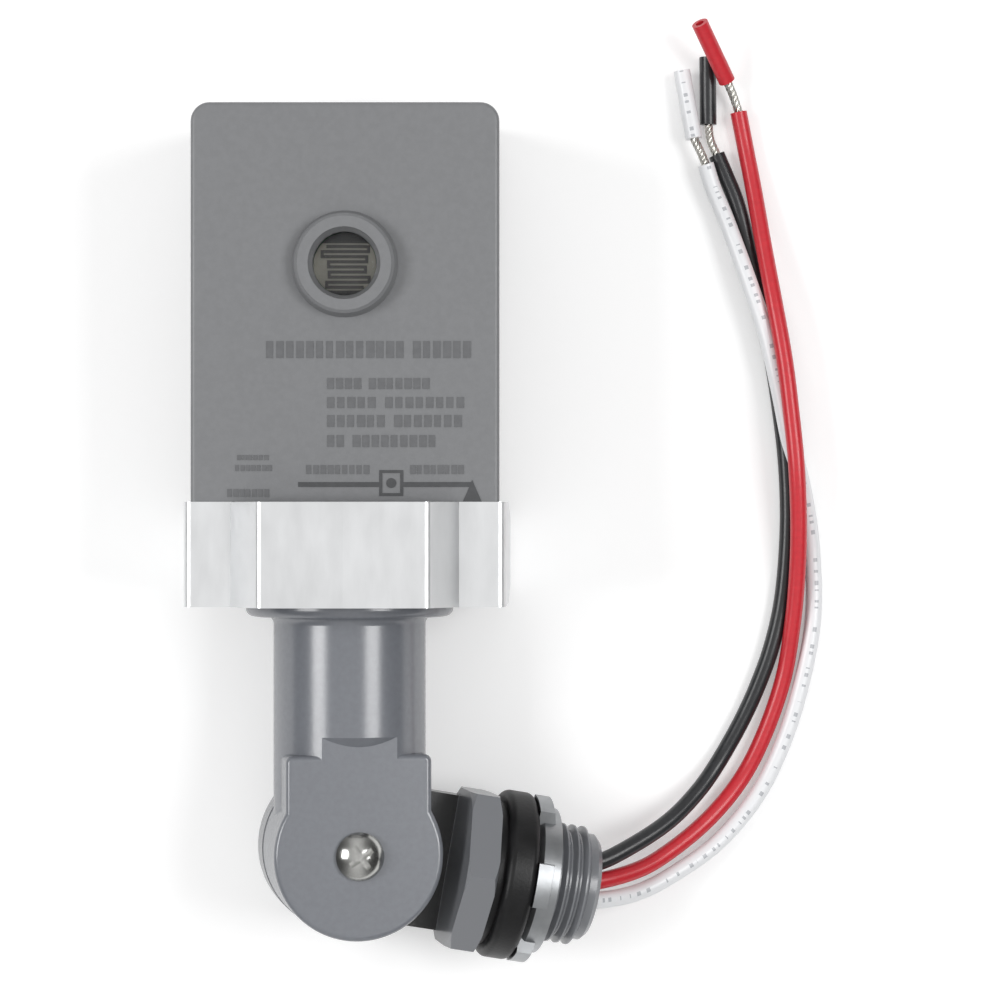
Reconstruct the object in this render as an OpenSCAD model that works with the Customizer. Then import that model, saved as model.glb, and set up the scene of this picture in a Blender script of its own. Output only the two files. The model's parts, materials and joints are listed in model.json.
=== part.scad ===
// Swivel photocell switch, lying on its back: +Z is up out of the face, +Y runs along the housing.
// The origin is the middle of the rear cover's resting face. All sizes are in millimetres.

/* [Housing] */
// Width of the housing
housing_w = 52; // [48:0.5:58]
// Length of the housing
housing_h = 84; // [80:0.5:96]
// Depth of the front shell, from its rear rim to its face
shell_d = 34.4; // [33:0.2:38]
// Wall of the front shell
wall_t = 2.2; // [1.8:0.1:2.8]
// Radius of the housing's four upright corners
corner_r = 3.2; // [2.8:0.1:4.5]
// Rounding around the face
edge_r = 0.8; // [0.4:0.1:1.4]
// Thickness of the rear cover's flange
cover_t = 2; // [1.6:0.1:2.6]
// How far the rear cover's pad stands out behind its flange
pad_t = 2.2; // [2:0.1:3]
// Width of the rear cover's pad
pad_w = 36; // [32:0.5:38]
// Thickness of the seal under the rear cover
cover_seal_t = 0.8; // [0.6:0.1:1.2]

/* [Light sensor] */
// Distance of the sensor below the housing's top
eye_down = 27.3; // [25:0.1:30]
// Radius of the sensor's collar where it meets the face
collar_base_r = 9; // [8.9:0.1:10]
// Radius of the collar at its rim
collar_rim_r = 8.4; // [7.8:0.1:8.8]
// Height of the collar above the face
collar_rise = 3; // [2.4:0.1:4.6]
// Radius of the collar's mouth
mouth_r = 6.1; // [5.9:0.1:7]
// Radius of the window in the face
window_r = 5.4; // [5:0.1:5.7]
// Radius of the photoconductive cell
cell_r = 5.1; // [4.5:0.1:5.3]

/* [Light shield] */
// Thickness of the shield's sheet
sheet_t = 0.8; // [0.6:0.1:1]
// Height of the shield along the housing
shield_h = 17.7; // [14:0.1:22]
// How far the shield's lower edge lies below the housing at rest
shield_drop = 1; // [0:0.1:2]
// Width of the raised bridge where it leaves the face
bridge_base_w = 37.7; // [36:0.1:42]
// Width of the bridge's flat
bridge_top_w = 27.5; // [26:0.1:32]
// Rise of the bridge above the face
bridge_rise = 6.2; // [5.4:0.1:8]
// Width of the lips that hook behind the housing
lip_w = 5.6; // [3:0.1:6]

/* [Stem] */
// Height of the stem's axis above the resting face
axis_h = 21.2; // [21.1:0.1:22]
// Radius of the stem
stem_r = 13.2; // [12.8:0.1:13.6]
// Length of the stem, from the pivot to its flange
stem_len = 40.6; // [36:0.2:50]
// Radius of the stem's flange
flange_r = 18; // [16.5:0.1:18.1]
// Thickness of the stem's flange
flange_t = 2.6; // [2.2:0.1:3.4]
// Angle that the stem is turned from facing forward
stem_turn = 11; // [0:1:11]

/* [Knuckle] */
// Distance of the ear's flat front from the stem's axis
ear_front = 11.5; // [11:0.1:12.4]
// Distance of the lap face behind the stem's axis
lap_y = 4.4; // [3.5:0.1:5.5]
// Radius of the ear's round end
ear_r = 14.6; // [14:0.1:15]
// Width of the ear above its round end
ear_w = 25.1; // [23:0.1:26]
// Height of the ear's square end above the pivot
ear_top = 17.2; // [16:0.1:18]
// Thickness of the arm's lapped disc
disc_t = 7; // [6.4:0.1:8]
// Radius of the pivot screw's shank
pivot_r = 2.1; // [1.8:0.1:2.4]
// Radius of the pivot screw's head
head_r = 4.15; // [3.8:0.05:4.5]

/* [Arm] */
// Swing of the arm from straight down
arm_swing = 80; // [0:1:90]
// Distance of the hexagon from the pivot
hex_at = 18.4; // [18:0.1:22]
// Thickness of the hexagon
hex_t = 5.4; // [4:0.1:6]
// Hexagon across flats
hex_af = 27; // [25.4:0.1:27.5]
// Thickness of the rubber washer
washer_t = 6.8; // [4:0.1:8]
// Outer radius of the rubber washer
washer_r = 14.7; // [13:0.1:14.8]
// Thickness of the locknut
nut_t = 4.3; // [3.5:0.1:6]
// Radius over the locknut's lugs
nut_r = 14.7; // [14:0.1:14.8]
// Radius over the thread's crests
thread_r = 10.45; // [10.2:0.05:10.6]
// Length of the nipple from the hexagon
nipple_len = 19.4; // [18:0.2:24]
// Radius of the bore for the leads
lead_way_r = 6.5; // [6.2:0.1:7]

/* [Leads] */
// Outer diameter of a lead
lead_d = 3; // [2.6:0.1:3]
// Outer diameter of a lead's bare strands
strand_d = 1.6; // [1.2:0.1:1.8]

/* [Hidden] */
$fn = 96;

// Colours
housing_grey = [0.53, 0.54, 0.55];
stem_grey = [0.5, 0.51, 0.52];
sheet_silver = [0.86, 0.87, 0.875];
steel = [0.7, 0.7, 0.71];
rubber_black = [0.06, 0.06, 0.065];
board_green = [0.1, 0.32, 0.18];
cream = [0.85, 0.8, 0.68];
clear_blue = [0.85, 0.9, 0.92, 0.5];
lead_red_colour = [0.78, 0.14, 0.18];
lead_white_colour = [0.9, 0.9, 0.9];
dropper_red = [0.7, 0.18, 0.1];
smoothing_black = [0.12, 0.13, 0.2];
varistor_blue = [0.12, 0.25, 0.6];
resistor_tan = [0.8, 0.7, 0.5];
diode_black = [0.1, 0.1, 0.1];

// Clearances
run_fit = 0.05;
seat_fit = 0.1;
slide_gap = 0.3;
swing_gap = 0.5;
overlap = 1;
far = 200;

// Levels of the housing, counted up from the resting face
flange_z = pad_t;
seal_z = flange_z + cover_t;
rim_z = seal_z + cover_seal_t;
face_z = rim_z + shell_d;
ceiling_z = face_z - wall_t;
top_y = housing_h / 2;
eye_y = top_y - eye_down;

// Sensor, behind the face
window_seal_t = 1;
window_flange_t = 1.2;
window_flange_w = 1.8;
window_flange_r = window_r + window_flange_w;
window_dome = 0.8;
window_proud = 1.2;
window_back_z = ceiling_z - window_seal_t - window_flange_t;
cell_t = 2.2;
cell_z = window_back_z - seat_fit - cell_t;
cell_lead_r = 0.35;
cell_lead_x = 2.6;
rim_round = 0.5;

// Circuit board, hung from posts behind the face
board_t = 1.6;
board_w = 42;
board_l = 64;
board_y = 3;
board_corner_r = 1.5;
board_drop = 17.9;
board_z = face_z - board_drop;
board_front_z = board_z + board_t;
post_r = 3;
post_inset = 3.6;
post_x = board_w / 2 - post_inset;
post_y = board_l / 2 - post_inset;
board_screw_r = 1.2;
board_screw_l = 7;
board_head_r = 2.4;
board_head_t = 1.6;

// Parts on the circuit board
relay_size = [19, 15.4, 15];
relay_corner_r = 0.8;
relay_at = [-8, 12];
dropper_size = [8, 18, 13];
dropper_corner_r = 1.2;
dropper_at = [12, 10];
smoothing_r = 4;
smoothing_h = 11.5;
smoothing_at = [-11, -8];
varistor_r = 5;
varistor_t = 4;
varistor_at = [3, -6];
resistor_r = 1.2;
resistor_l = 6.5;
resistor_at = [10, -8];
resistor_count = 3;
resistor_step = 4;
diode_r = 1.1;
diode_l = 4.6;
diode_at = [-12, -18];
diode_count = 2;
diode_step = 4;
lead_wire_r = 0.3;
lead_wire_l = 2;

// Light shield's bends
leg_x = housing_w / 2 + slide_gap;
leg_splay = 0.9;
bend_r = 0.6;
bridge_crease = 0.4;
lip_h = 12;
lip_top_z = flange_z - slide_gap;

// Rear cover's screws
boss_r = 3.6;
boss_h = 8;
boss_x = 13.4;
boss_bite = 0.2;
boss_cap = 1;
boss_y = top_y - wall_t - boss_r + boss_bite;
cover_screw_r = 1.5;
cover_head_r = 2.9;
cover_head_t = 1.8;
cover_screw_l = 9;
cover_cross_w = 0.8;
cover_cross_l = 3.2;
cover_cross_depth = 0.9;
pad_margin = 3;
spigot_t = 1.6;
spigot_w = 2;

// Stem's bearing in the housing
stem_seal_t = 0.5;
stem_seal_inset = 2.4;
stem_seal_r = flange_r - stem_seal_inset;
neck_r = 9;
bearing_l = 5;
bearing_wall = 4;
bearing_r = neck_r + bearing_wall;
retainer_t = 1.2;
retainer_reach = 2.4;
retainer_r = neck_r + retainer_reach;
retainer_mouth = 11.2;
groove_depth = 1;
groove_r = neck_r - groove_depth;
neck_lip = 1.2;
stem_bore_r = 7;
flange_edge_r = 1.4;
root_fillet = 1.3;
neck_base = stem_len + flange_t;
neck_len = stem_seal_t + bearing_l + slide_gap + retainer_t + seat_fit + neck_lip;
pivot_y = -top_y - stem_seal_t - flange_t - stem_len;

// Knuckle
ear_t = ear_front + lap_y;
ear_edge = 0.9;
ear_corner = 1.2;
ear_foot = 2;
taper_rise = 3.1;
taper_top = ear_top + taper_rise;
taper_low = taper_top - (stem_r - ear_front);
lap_washer_t = 0.3;
lap_washer_r = 12;
disc_y = lap_y + lap_washer_t;
disc_r = ear_r + seat_fit;
disc_edge = 1;
lug_corner = 1.6;
shoulder_z = disc_r + swing_gap;
chamber_r = 10.4;
chamber_wall = 2.4;
hub_r = 4.8;
lead_slot_w = 9;
lead_slot_t = 3;
lead_slot_wall = 1.2;
lead_slot_run = 1.4;
lead_slot_end = hex_at + hex_t + lead_slot_run;

// Pivot fasteners
head_t = 2.7;
head_rim_t = 0.7;
head_dome_r = (head_r * head_r + (head_t - head_rim_t) * (head_t - head_rim_t)) / (2 * (head_t - head_rim_t));
cross_w = 1;
cross_l = 4.6;
cross_depth = 1.5;
cross_turn = 45;
pivot_nut_af = 7;
pivot_nut_t = 3.2;
nut_sink = 0.3;
pocket_t = pivot_nut_t + nut_sink;
screw_sink = 0.4;
screw_end = disc_y + disc_t - screw_sink;

// Arm, counted along its axis from the pivot
lug_w = 24;
lug_l = hex_at + hex_t / 2;
hex_r = hex_af / sqrt(3);
hex_chamfer = 0.7;
hex_end = hex_at + hex_t;
washer_end = hex_end + washer_t;
nut_end = washer_end + nut_t;
nipple_end = hex_end + nipple_len;
thread_pitch = 1.814;
thread_depth = 1.1;
crest_land = 0.3;
root_land = 0.24;
end_land = 2.06;
seat_swell = 0.25;
seat_r = thread_r + seat_swell;
end_round = 0.8;
thread_turns = floor((nipple_len - end_land) / thread_pitch);
thread_from = nipple_end - end_land - thread_turns * thread_pitch;
seat_turns = ceil((nut_end - thread_from) / thread_pitch);
bore_floor_t = 2;
bore_floor = hex_at + bore_floor_t;

// Rubber washer and locknut
washer_waist_w = 2.2;
washer_waist_r = thread_r + washer_waist_w;
washer_waist_t = 1.4;
washer_round = 1.3;
nut_body_w = 2.3;
nut_body_r = thread_r + nut_body_w;
nut_lugs = 5;
nut_lug_w = 7.6;
nut_lug_t = 2.6;
nut_lug_fall = 0.6;
nut_lug_root = 0.4;
nut_dish_t = 1.2;
nut_dish_w = 0.9;

// Seal around the leads, inside the nipple
lead_seal_t = 6;
lead_seal_in = 4;
lead_seal_end = nipple_end - lead_seal_in;
lead_pitch = 3.4;
lead_shift = 1.1;
lead_free = 0.6;
lead_sides = 8;
slug_d = lead_d;

// Routes of the leads from the nipple's end, on and above the table
red_route = [
    [50.4, -90.6, 9.3], [56.4, -87.5, 6.4], [63.4, -82.1, 3.4], [69.2, -75.4, 1.6], [73.4, -67.4, 1.5],
    [76.9, -57.2, 1.8], [78.5, -47.1, 3.3], [79.2, -38, 4.8], [79.3, -29, 6.4], [78.8, -19, 7.8],
    [77.8, -9, 7.8], [76.7, 0, 7.4], [75.1, 9.5, 6.4], [73.3, 20, 4.4], [71.6, 30.5, 2.5],
    [70.2, 38, 1.7], [68.9, 44.6, 2]
];
black_route = [
    [49.6, -86.1, 10.2], [56.3, -82, 7], [61.4, -77.2, 4], [65.1, -72.3, 2], [69.2, -65.2, 1.5],
    [72.3, -58.5, 1.5], [75, -50.9, 1.5], [76.9, -42, 1.5], [77.8, -30, 1.5], [77.5, -18.6, 1.5],
    [76.2, -7.4, 1.5], [74.5, 3, 1.5], [72.7, 12, 1.5], [70.8, 20, 1.5], [68.6, 28.2, 1.5],
    [66.7, 33, 1.5], [65, 37, 1.5]
];
white_route = [
    [50, -94.8, 8.6], [57.4, -91.5, 5.6], [65.5, -86, 2.6], [72.6, -77.5, 1.5], [77.6, -66.8, 1.5],
    [80.9, -55.1, 1.5], [82.4, -45.1, 1.5], [82.2, -35, 1.5], [81.2, -27, 2.6], [79.5, -19.6, 4.2],
    [77.7, -14, 4.6], [76, -5.6, 4.7], [73.6, 4.8, 4.7], [70.3, 14.8, 4.4], [66.6, 25.2, 3.2],
    [64.3, 30.8, 3], [62.9, 35.1, 3.4]
];
red_bare = [[68.9, 44.6, 2], [67.9, 47.4, 2.8], [66.7, 50, 3.6]];
black_bare = [[65, 37, 1.5], [63.9, 39.6, 1.5], [63.5, 42.4, 1.5]];
white_bare = [[62.9, 35.1, 3.4], [61.9, 37.5, 3.6], [60.8, 39.7, 3.4]];
red_slug_end = [61.5, 59.5, 9.5];
black_slug_end = [63.4, 54.5, 1.5];
white_slug_end = [58.7, 51.9, 2.6];

// Vectors along a route
function unit(v) = v / norm(v);
function heading(p, i) = unit(p[min(i + 1, len(p) - 1)] - p[max(i - 1, 0)]);
function ring(p, i, r) =
    let (t = heading(p, i))
    let (u = unit(cross([0, 0, 1], t)))
    let (v = cross(t, u))
    [for (k = [0 : lead_sides - 1])
        let (a = 360 * (k + 0.5) / lead_sides)
        p[i] + r * (cos(a) * u + sin(a) * v)];
function tube_points(p, r) = [for (i = [0 : len(p) - 1]) each ring(p, i, r)];
function side_faces(i, k) =
    let (n = lead_sides)
    let (next = (k + 1) % n)
    let (a = i * n + k)
    let (b = i * n + next)
    [[a, a + n, b], [b, a + n, b + n]];
function tube_faces(count) = concat(
    [[for (k = [0 : lead_sides - 1]) k]],
    [for (i = [0 : count - 2]) for (k = [0 : lead_sides - 1]) each side_faces(i, k)],
    [[for (k = [lead_sides - 1 : -1 : 0]) (count - 1) * lead_sides + k]]
);

// A point given in the arm's frame, carried to the part's frame
function arm_point(x, z) =
    let (a = 180 - arm_swing)
    let (along = x * cos(a) + z * sin(a))
    [along * cos(stem_turn), pivot_y - x * sin(a) + z * cos(a), axis_h - along * sin(stem_turn)];
function lead_path(x, route) =
    concat([arm_point(x, lead_seal_end), arm_point(x, nipple_end + lead_free)], route);

// Frames: the stem's has Z up the stem and -Y to the front, the arm's has Z out along the nipple
module stem_frame() {
    translate([0, pivot_y, axis_h]) rotate([-90, 0, 0]) rotate([0, 0, stem_turn]) children();
}

module arm_frame() {
    stem_frame() rotate([0, 180 - arm_swing, 0]) children();
}

// Turns a shape built face up to face the front or the back of the knuckle
module face_front() {
    rotate([90, 0, 0]) children();
}

module face_back() {
    rotate([-90, 0, 0]) children();
}

module four_corners(x, y) {
    for (side = [-1, 1]) {
        for (end = [-1, 1]) {
            translate([side * x, end * y]) children();
        }
    }
}

// Rounded shapes
module quarter(r) {
    intersection() {
        circle(r);
        square(r);
    }
}

module edge_section(reach, d, edge) {
    square([reach, d - edge]);
    square([reach - edge, d]);
    translate([reach - edge, d - edge]) quarter(edge);
}

module rounded_rect(w, h, r) {
    square([w - 2 * r, h], center = true);
    square([w, h - 2 * r], center = true);
    four_corners(w / 2 - r, h / 2 - r) circle(r);
}

module soft_block(w, h, d, corner, edge) {
    core_x = w / 2 - corner;
    core_y = h / 2 - corner;
    translate([-core_x, -core_y, 0]) cube([2 * core_x, 2 * core_y, d]);
    for (turn = [0, 180]) {
        rotate(turn) translate([core_x, 0, 0]) rotate([90, 0, 0])
            linear_extrude(height = 2 * core_y, center = true) edge_section(corner, d, edge);
        rotate(turn + 90) translate([core_y, 0, 0]) rotate([90, 0, 0])
            linear_extrude(height = 2 * core_x, center = true) edge_section(corner, d, edge);
    }
    for (flip_x = [0, 1]) {
        for (flip_y = [0, 1]) {
            mirror([flip_x, 0, 0]) mirror([0, flip_y, 0]) translate([core_x, core_y, 0])
                rotate_extrude(angle = 90) edge_section(corner, d, edge);
        }
    }
}

module tube(path, d) {
    polyhedron(points = tube_points(path, d / 2), faces = tube_faces(len(path)));
}

// Housing
module shell_cavity() {
    translate([0, 0, rim_z - overlap]) linear_extrude(height = shell_d - wall_t + overlap)
        rounded_rect(housing_w - 2 * wall_t, housing_h - 2 * wall_t, corner_r - wall_t / 2);
}

module collar_section() {
    polygon([
        [0, 0], [collar_base_r, 0], [collar_rim_r, collar_rise - rim_round],
        [collar_rim_r - rim_round, collar_rise], [0, collar_rise]
    ]);
}

module board_post() {
    difference() {
        cylinder(r = post_r, h = ceiling_z - board_front_z + overlap);
        translate([0, 0, -overlap]) cylinder(r = board_screw_r + run_fit, h = board_screw_l + overlap);
    }
}

module cover_boss() {
    difference() {
        cylinder(r = boss_r, h = boss_h);
        translate([0, 0, -overlap]) cylinder(r = cover_screw_r + run_fit, h = boss_h - boss_cap + overlap);
    }
}

module front_housing() {
    color(housing_grey) difference() {
        union() {
            difference() {
                translate([0, 0, rim_z]) soft_block(housing_w, housing_h, shell_d, corner_r, edge_r);
                shell_cavity();
            }
            translate([0, eye_y, face_z]) rotate_extrude() collar_section();
            translate([0, board_y, board_front_z]) four_corners(post_x, post_y) board_post();
            translate([0, 0, rim_z]) four_corners(boss_x, boss_y) cover_boss();
            translate([0, -top_y, axis_h]) rotate([-90, 0, 0]) cylinder(r = bearing_r, h = bearing_l);
        }
        translate([0, eye_y, ceiling_z - overlap])
            cylinder(r = window_r, h = wall_t + collar_rise + 2 * overlap);
        translate([0, eye_y, face_z + window_proud])
            cylinder(r1 = window_r, r2 = mouth_r, h = collar_rise - window_proud);
        translate([0, -top_y - overlap, axis_h]) rotate([-90, 0, 0])
            cylinder(r = neck_r + run_fit, h = bearing_l + 2 * overlap);
    }
}

module rear_cover() {
    spigot_out_w = housing_w - 2 * wall_t - 2 * slide_gap;
    spigot_out_h = housing_h - 2 * wall_t - 2 * slide_gap;
    spigot_r = corner_r - wall_t / 2;
    color(housing_grey) difference() {
        union() {
            linear_extrude(height = pad_t) rounded_rect(pad_w, housing_h - 2 * pad_margin, corner_r);
            translate([0, 0, flange_z]) linear_extrude(height = cover_t)
                rounded_rect(housing_w, housing_h, corner_r);
            translate([0, 0, seal_z]) linear_extrude(height = cover_seal_t + spigot_t) difference() {
                rounded_rect(spigot_out_w, spigot_out_h, spigot_r);
                rounded_rect(spigot_out_w - 2 * spigot_w, spigot_out_h - 2 * spigot_w, spigot_r);
                four_corners(boss_x, boss_y) circle(boss_r + slide_gap);
            }
        }
        four_corners(boss_x, boss_y) {
            translate([0, 0, -overlap]) cylinder(r = cover_head_r + seat_fit, h = pad_t + overlap);
            cylinder(r = cover_screw_r + run_fit, h = seal_z + overlap);
        }
    }
}

module cover_seal() {
    inner_w = housing_w - 2 * wall_t;
    inner_h = housing_h - 2 * wall_t;
    color(rubber_black) translate([0, 0, seal_z]) linear_extrude(height = cover_seal_t) difference() {
        union() {
            difference() {
                rounded_rect(housing_w, housing_h, corner_r);
                rounded_rect(inner_w, inner_h, corner_r - wall_t / 2);
            }
            four_corners(boss_x, boss_y) circle(boss_r);
        }
        four_corners(boss_x, boss_y) circle(cover_screw_r + run_fit);
    }
}

module cover_screw() {
    difference() {
        union() {
            translate([0, 0, flange_z - cover_head_t]) cylinder(r = cover_head_r, h = cover_head_t);
            translate([0, 0, flange_z]) cylinder(r = cover_screw_r, h = cover_screw_l);
        }
        for (turn = [0, 90]) {
            translate([0, 0, flange_z - cover_head_t]) rotate(turn)
                cube([cover_cross_l, cover_cross_w, 2 * cover_cross_depth], center = true);
        }
    }
}

module cover_screws() {
    color(steel) four_corners(boss_x, boss_y) cover_screw();
}

// Light sensor
module lens_window() {
    dome_base_z = face_z + window_proud - window_dome;
    dome_r = (window_r * window_r + window_dome * window_dome) / (2 * window_dome);
    color(clear_blue) translate([0, eye_y, 0]) union() {
        translate([0, 0, window_back_z]) cylinder(r = window_flange_r, h = window_flange_t);
        intersection() {
            translate([0, 0, window_back_z])
                cylinder(r = window_r - seat_fit, h = dome_base_z + window_dome - window_back_z);
            translate([0, 0, dome_base_z + window_dome - dome_r]) sphere(dome_r);
        }
    }
}

module window_seal() {
    color(rubber_black) translate([0, eye_y, ceiling_z - window_seal_t]) difference() {
        cylinder(r = window_flange_r, h = window_seal_t);
        translate([0, 0, -overlap]) cylinder(r = window_r, h = window_seal_t + 2 * overlap);
    }
}

module photocell() {
    color(cream) translate([0, eye_y, 0]) union() {
        translate([0, 0, cell_z]) cylinder(r = cell_r, h = cell_t);
        for (side = [-1, 1]) {
            translate([side * cell_lead_x, 0, board_front_z])
                cylinder(r = cell_lead_r, h = cell_z - board_front_z + cell_t / 2);
        }
    }
}

// Circuit board and what it carries, hung under its rear side
module circuit_board() {
    color(board_green) translate([0, board_y, board_z]) linear_extrude(height = board_t) difference() {
        rounded_rect(board_w, board_l, board_corner_r);
        four_corners(post_x, post_y) circle(board_screw_r + run_fit);
    }
}

module board_screw() {
    translate([0, 0, -board_head_t]) cylinder(r = board_head_r, h = board_head_t);
    cylinder(r = board_screw_r, h = board_screw_l);
}

module board_screws() {
    color(steel) translate([0, board_y, board_z]) four_corners(post_x, post_y) board_screw();
}

module under_board(x, y, h) {
    translate([x, board_y + y, board_z - h]) children();
}

module relay() {
    color(rubber_black) under_board(relay_at[0], relay_at[1], relay_size[2])
        linear_extrude(height = relay_size[2])
            rounded_rect(relay_size[0], relay_size[1], relay_corner_r);
}

module dropper_capacitor() {
    color(dropper_red) under_board(dropper_at[0], dropper_at[1], dropper_size[2])
        linear_extrude(height = dropper_size[2])
            rounded_rect(dropper_size[0], dropper_size[1], dropper_corner_r);
}

module smoothing_capacitor() {
    color(smoothing_black) under_board(smoothing_at[0], smoothing_at[1], smoothing_h)
        cylinder(r = smoothing_r, h = smoothing_h);
}

module varistor() {
    color(varistor_blue) under_board(varistor_at[0], varistor_at[1], varistor_r + lead_wire_l) {
        rotate([90, 0, 0]) cylinder(r = varistor_r, h = varistor_t, center = true);
        for (side = [-1, 1]) {
            translate([side * varistor_r / 2, 0, 0]) cylinder(r = lead_wire_r, h = varistor_r + lead_wire_l);
        }
    }
}

// A part with wire ends, lying just under the board
module axial_part(r, l) {
    translate([0, 0, -r]) rotate([0, 90, 0]) {
        cylinder(r = r, h = l, center = true);
        cylinder(r = lead_wire_r, h = l + 2 * lead_wire_l, center = true);
    }
    for (side = [-1, 1]) {
        translate([side * (l / 2 + lead_wire_l), 0, -r]) cylinder(r = lead_wire_r, h = r);
    }
}

module resistors() {
    color(resistor_tan) for (k = [0 : resistor_count - 1]) {
        under_board(resistor_at[0], resistor_at[1] - k * resistor_step, 0) axial_part(resistor_r, resistor_l);
    }
}

module diodes() {
    color(diode_black) for (k = [0 : diode_count - 1]) {
        under_board(diode_at[0], diode_at[1] - k * diode_step, 0) axial_part(diode_r, diode_l);
    }
}

// Light shield: one bent strip, hooked around the housing and free to slide along it
module shield_inside() {
    foot_x = leg_x + leg_splay;
    sheet_z = face_z + seat_fit;
    crown_z = face_z + bridge_rise;
    offset(r = bend_r) offset(delta = -bend_r) polygon([
        [-foot_x, lip_top_z], [foot_x, lip_top_z], [leg_x, sheet_z], [bridge_base_w / 2, sheet_z],
        [bridge_top_w / 2, crown_z], [0, crown_z + bridge_crease], [-bridge_top_w / 2, crown_z],
        [-bridge_base_w / 2, sheet_z], [-leg_x, sheet_z]
    ]);
}

module shield_section() {
    gap_w = 2 * (leg_x + leg_splay + sheet_t - lip_w);
    difference() {
        offset(r = sheet_t) shield_inside();
        shield_inside();
        translate([-gap_w / 2, lip_top_z - 2 * sheet_t]) square([gap_w, 4 * sheet_t]);
    }
}

module shield_side() {
    knee_z = face_z / 2;
    polygon([
        [-lip_h / 2, -overlap], [lip_h / 2, -overlap], [lip_h / 2, lip_top_z], [shield_h / 2, knee_z],
        [shield_h / 2, far], [-shield_h / 2, far], [-shield_h / 2, knee_z], [-lip_h / 2, lip_top_z]
    ]);
}

module light_shield() {
    color(sheet_silver) translate([0, shield_h / 2 - shield_drop - top_y, 0]) intersection() {
        rotate([90, 0, 0]) linear_extrude(height = shield_h, center = true) shield_section();
        rotate([90, 0, 90]) linear_extrude(height = far, center = true) shield_side();
    }
}

// Stem
module stem_section() {
    polygon([
        [0, taper_low], [ear_front, taper_low], [stem_r, taper_top], [stem_r, stem_len], [0, stem_len]
    ]);
    translate([stem_r, stem_len - root_fillet]) difference() {
        square(root_fillet);
        translate([root_fillet, 0]) circle(root_fillet);
    }
    translate([0, stem_len]) {
        square([flange_r - flange_edge_r, flange_t]);
        translate([0, flange_edge_r]) square([flange_r, flange_t - flange_edge_r]);
        translate([flange_r - flange_edge_r, flange_edge_r]) mirror([0, 1]) quarter(flange_edge_r);
    }
    translate([0, neck_base]) square([neck_r, neck_len]);
}

module flat_barrel() {
    intersection() {
        cylinder(r = stem_r, h = taper_top);
        translate([-stem_r, -ear_front, 0]) cube([2 * stem_r, ear_front + stem_r, taper_top]);
    }
}

module ear() {
    face_front() translate([0, 0, -lap_y]) {
        rotate_extrude() edge_section(ear_r, ear_t, ear_edge);
        translate([0, (ear_top - ear_foot) / 2, 0])
            soft_block(ear_w, ear_top + ear_foot, ear_t, ear_corner, ear_edge);
    }
}

module chamber(depth) {
    difference() {
        cylinder(r = chamber_r, h = depth);
        cylinder(r = hub_r, h = depth);
    }
}

module swivel_stem() {
    groove_z = neck_base + stem_seal_t + bearing_l + slide_gap;
    color(stem_grey) stem_frame() difference() {
        union() {
            rotate_extrude() stem_section();
            flat_barrel();
            ear();
        }
        translate([-far, lap_y, -far]) cube([2 * far, far, far + shoulder_z]);
        translate([0, 0, hub_r]) cylinder(r = stem_bore_r, h = far);
        face_front() translate([0, 0, -lap_y]) chamber(ear_t - chamber_wall);
        face_front() cylinder(r = pivot_r + run_fit, h = far, center = true);
        translate([0, 0, groove_z]) difference() {
            cylinder(r = neck_r + overlap, h = retainer_t + seat_fit);
            cylinder(r = groove_r, h = retainer_t + seat_fit);
        }
    }
}

module stem_seal() {
    color(rubber_black) stem_frame() translate([0, 0, neck_base]) difference() {
        cylinder(r = stem_seal_r, h = stem_seal_t);
        cylinder(r = neck_r + seat_fit, h = stem_seal_t);
    }
}

module stem_retainer() {
    color(steel) stem_frame() translate([0, 0, neck_base + stem_seal_t + bearing_l + slide_gap])
        linear_extrude(height = retainer_t) difference() {
            circle(retainer_r);
            circle(groove_r + run_fit);
            translate([-retainer_mouth / 2, 0]) square([retainer_mouth, far]);
        }
}

// Arm
module thread_section() {
    root_r = thread_r - thread_depth;
    flank = (thread_pitch - crest_land - root_land) / 2;
    last_z = thread_from + thread_turns * thread_pitch;
    polygon(concat(
        [[0, hex_at], [root_r, hex_at]],
        [for (k = [0 : thread_turns - 1])
            let (z = thread_from + k * thread_pitch + root_land)
            let (crest_r = k < seat_turns ? seat_r : thread_r)
            each [[root_r, z], [crest_r, z + flank], [crest_r, z + flank + crest_land],
                [root_r, z + 2 * flank + crest_land]]],
        [[root_r, last_z], [root_r, nipple_end - end_round]],
        [[root_r - end_round, nipple_end], [0, nipple_end]]
    ));
}

module hexagon() {
    translate([0, 0, hex_at]) intersection() {
        rotate(90) cylinder(r = hex_r, h = hex_t, $fn = 6);
        rotate_extrude() polygon([
            [0, 0], [hex_r - 2 * hex_chamfer, 0], [hex_r, hex_chamfer], [hex_r, hex_t - hex_chamfer],
            [hex_r - 2 * hex_chamfer, hex_t], [0, hex_t]
        ]);
    }
}

module lapped_disc() {
    face_back() translate([0, 0, disc_y]) {
        rotate_extrude() edge_section(disc_r, disc_t, disc_edge);
        translate([0, -lug_l / 2, 0]) soft_block(lug_w, lug_l, disc_t, lug_corner, disc_edge);
    }
}

module swivel_arm() {
    color(stem_grey) arm_frame() difference() {
        union() {
            lapped_disc();
            hexagon();
            rotate_extrude() thread_section();
        }
        translate([0, 0, bore_floor]) cylinder(r = lead_way_r, h = far);
        face_back() translate([0, 0, disc_y]) chamber(disc_t - chamber_wall);
        translate([-lead_slot_w / 2, disc_y + lead_slot_wall, hub_r])
            cube([lead_slot_w, lead_slot_t, lead_slot_end - hub_r]);
        face_back() cylinder(r = pivot_r + run_fit, h = far);
        face_back() translate([0, 0, disc_y + disc_t - pocket_t])
            cylinder(r = pivot_nut_af / sqrt(3) + seat_fit, h = far, $fn = 6);
    }
}

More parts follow.
